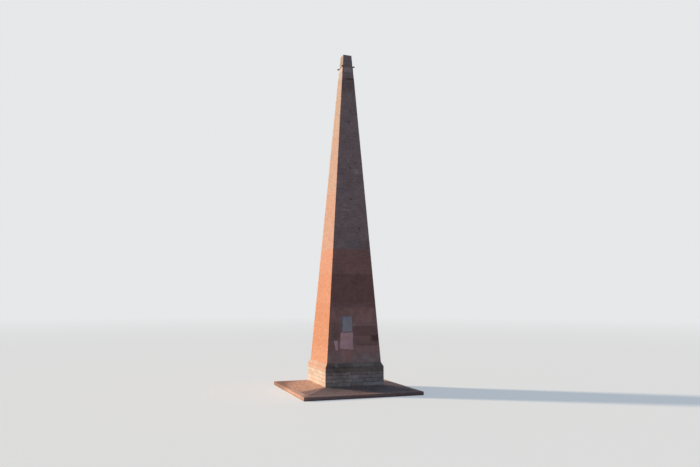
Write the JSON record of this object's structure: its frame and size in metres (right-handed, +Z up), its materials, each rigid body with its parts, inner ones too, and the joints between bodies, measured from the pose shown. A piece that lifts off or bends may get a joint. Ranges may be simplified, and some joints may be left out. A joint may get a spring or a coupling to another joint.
{
  "type": "obelisk",
  "caption": "Tapering brick obelisk on a coursed stone plinth, with a stone collar and cap, an iron band below the cap, a blocked opening in its front and a sloping kerbed apron.",
  "frame": {"origin": "on the ground under the middle of the obelisk, at the middle of its flat underside", "axes": "+Z up along the obelisk's axis; -Y is the front face, which holds the blocked opening; -X is the left face, the sunlit one in the picture"},
  "size_m": [7.3, 7.3, 21.45],
  "materials": {
    "plinth_stone": "squared, weathered",
    "footing_stone": "rough",
    "apron_stone": "laid setts, worn",
    "kerb_stone": "rough dressed",
    "brick_mottled": "fired clay brickwork, patched",
    "brick_dark": "fired clay brickwork",
    "brick_red": "fired clay brickwork",
    "brick_buff": "fired clay brickwork, weathered",
    "pink_render": "trowelled render",
    "grey_slab": "smooth",
    "head_stone": "weathered",
    "iron": "rusted"
  },
  "bodies": {
    "root": {"plinth_course_1": "plinth_stone", "plinth_course_2": "plinth_stone", "plinth_course_3": "plinth_stone", "plinth_course_4": "plinth_stone", "plinth_course_5": "plinth_stone", "weathering_course": "plinth_stone", "footing": "footing_stone", "apron_front": "apron_stone", "apron_right": "apron_stone", "apron_back": "apron_stone", "apron_left": "apron_stone", "kerb_front": "kerb_stone", "kerb_right": "kerb_stone", "kerb_back": "kerb_stone", "kerb_left": "kerb_stone", "shaft_lift_1": "brick_mottled", "shaft_lift_2": "brick_dark", "shaft_lift_3": "brick_red", "shaft_lift_4": "brick_buff", "shaft_lift_5": "brick_buff", "shaft_lift_6": "brick_buff", "blocking_lower": "pink_render", "repair_patch": "pink_render", "blocking_upper": "grey_slab", "neck_course": "head_stone", "collar_course": "head_stone", "cap_stone": "head_stone", "band_front": "iron", "band_right": "iron", "band_back": "iron", "band_left": "iron", "band_bolts": "iron"}
  },
  "joints": []
}
